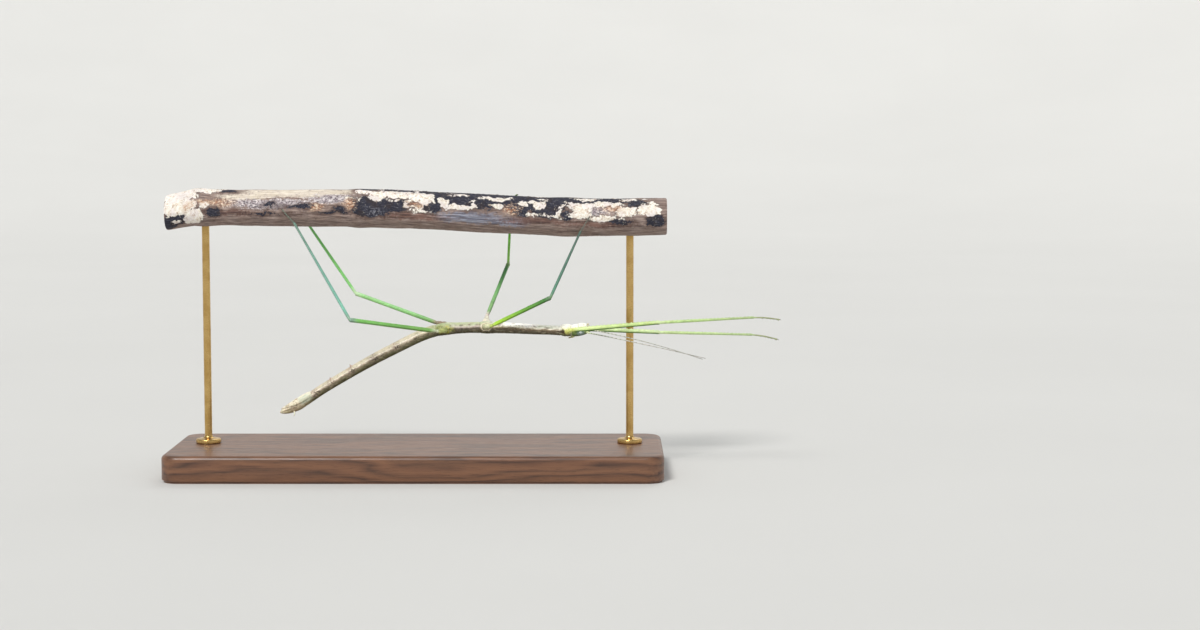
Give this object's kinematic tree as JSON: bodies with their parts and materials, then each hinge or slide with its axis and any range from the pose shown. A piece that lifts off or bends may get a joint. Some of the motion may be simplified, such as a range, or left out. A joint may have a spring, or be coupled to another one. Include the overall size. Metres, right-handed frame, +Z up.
{
  "type": "stick insect museum model",
  "caption": "Still life-size model of a slender wingless stick insect hanging beneath a lichen-covered branch, on a flat display base with upright rods.",
  "frame": {"origin": "centre of the base's underside", "axes": "+Z up, +X the way the insect faces along the branch, -Y its left side, which is the side seen from the front"},
  "size_m": [0.204, 0.056, 0.095],
  "materials": {
    "body": "grey-brown cuticle with pale and dark mottling",
    "face": "yellow-green and cream cuticle",
    "legs": "satin green cuticle, paler at the knees and teal towards the feet",
    "feelers": "grey with pale bands",
    "eye": "gloss",
    "bark": "dry bark with pale and black lichen",
    "board": "satin dark walnut",
    "brass": "satin"
  },
  "bodies": {
    "root": {"prothorax": "body", "mesothorax": "body", "metathorax": "body", "abdomen_2": "body", "abdomen_3": "body", "abdomen_4": "body", "abdomen_5": "body", "abdomen_6": "body", "abdomen_7": "body", "abdomen_8": "body", "abdomen_9": "body", "abdomen_10": "body", "subgenital_plate": "body", "cercus_left": "body", "cercus_right": "body", "head": "face", "mouthparts": "face", "horn_left": "face", "horn_right": "face", "eye_left": "eye", "eye_right": "eye", "antenna_left": "feelers", "antenna_right": "feelers", "coxa_fore_left": "legs", "femur_fore_left": "legs", "tibia_fore_left": "legs", "tarsus_fore_left": "legs", "coxa_mid_left": "legs", "femur_mid_left": "legs", "tibia_mid_left": "legs", "tarsus_mid_left": "legs", "coxa_hind_left": "legs", "femur_hind_left": "legs", "tibia_hind_left": "legs", "tarsus_hind_left": "legs", "coxa_fore_right": "legs", "femur_fore_right": "legs", "tibia_fore_right": "legs", "tarsus_fore_right": "legs", "coxa_mid_right": "legs", "femur_mid_right": "legs", "tibia_mid_right": "legs", "tarsus_mid_right": "legs", "coxa_hind_right": "legs", "femur_hind_right": "legs", "tibia_hind_right": "legs", "tarsus_hind_right": "legs", "perch_branch": "bark", "stand_base": "board", "stand_rod_left": "brass", "stand_rod_right": "brass"}
  },
  "joints": []
}
